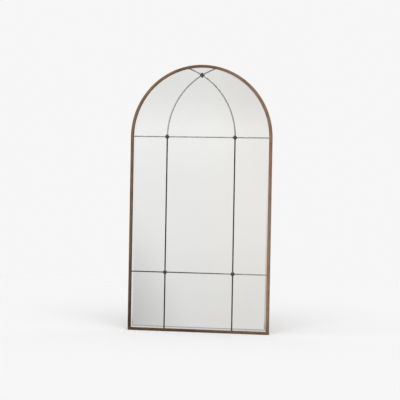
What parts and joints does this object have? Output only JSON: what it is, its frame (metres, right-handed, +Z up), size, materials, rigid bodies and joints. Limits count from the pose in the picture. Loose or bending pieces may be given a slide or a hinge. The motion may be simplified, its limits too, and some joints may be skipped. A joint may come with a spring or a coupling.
{
  "type": "arched wall mirror",
  "caption": "Round-arched wall mirror in a slim bronzed metal frame, with dark glazing bars that make a pointed arch on bevelled glass, lozenge bosses, and swinging hanger rings behind.",
  "frame": {"origin": "middle of the sill's rear edge, on the plane that meets the wall, level with the mirror's bottom", "axes": "+Z up, +Y into the wall, the glass faces -Y, +X to the right of someone looking into the glass"},
  "size_m": [0.76, 0.0244, 1.3999],
  "materials": {
    "frame_bronze": "antiqued bronze, rubbed lighter along the crown",
    "silvered_glass": "silvered behind, ground bevel at the edge",
    "bar_pewter": "dark pewter, satin",
    "boss_iron": "cast, waxed, edges rubbed",
    "backing_fibreboard": "smooth brown fibreboard",
    "interleaf_board": "grey board",
    "felt_tape": "black felt",
    "block_rubber": "matt",
    "zinc_steel": "zinc plated",
    "hanger_nickel": "nickel plated"
  },
  "bodies": {
    "mirror": {"frame_arch": "frame_bronze", "frame_stile_left": "frame_bronze", "frame_stile_right": "frame_bronze", "frame_sill": "frame_bronze", "corner_angle_left": "zinc_steel", "corner_angle_right": "zinc_steel", "splice_plate_left": "zinc_steel", "splice_plate_right": "zinc_steel", "joint_screws": "zinc_steel", "mirror_glass": "silvered_glass", "glazing_tape": "felt_tape", "setting_blocks": "block_rubber", "interleaf": "interleaf_board", "backing_board": "backing_fibreboard", "transom_lower": "bar_pewter", "transom_upper": "bar_pewter", "upright_left": "bar_pewter", "upright_right": "bar_pewter", "lancet_left": "bar_pewter", "lancet_right": "bar_pewter", "boss_top": "boss_iron", "boss_upper_left": "boss_iron", "boss_upper_right": "boss_iron", "boss_lower_left": "boss_iron", "boss_lower_right": "boss_iron", "retaining_clips": "zinc_steel", "clip_screws": "zinc_steel", "hanger_bracket_left": "zinc_steel", "hanger_bracket_right": "zinc_steel", "hanger_strap_left": "hanger_nickel", "hanger_strap_right": "hanger_nickel", "hanger_rivets": "hanger_nickel", "hanger_screws": "zinc_steel"},
    "ring_left": {"hanger_ring_left": "hanger_nickel"},
    "ring_right": {"hanger_ring_right": "hanger_nickel"}
  },
  "joints": [
    {"name": "ring_left_swing", "type": "hinge", "parent": "mirror", "child": "ring_left", "pos_m": [-0.35825, -0.00265, 0.962], "axis": [1, 0, 0], "range_deg": [0, 180]},
    {"name": "ring_right_swing", "type": "hinge", "parent": "mirror", "child": "ring_right", "pos_m": [0.35825, -0.00265, 0.962], "axis": [1, 0, 0], "range_deg": [0, 180]}
  ]
}
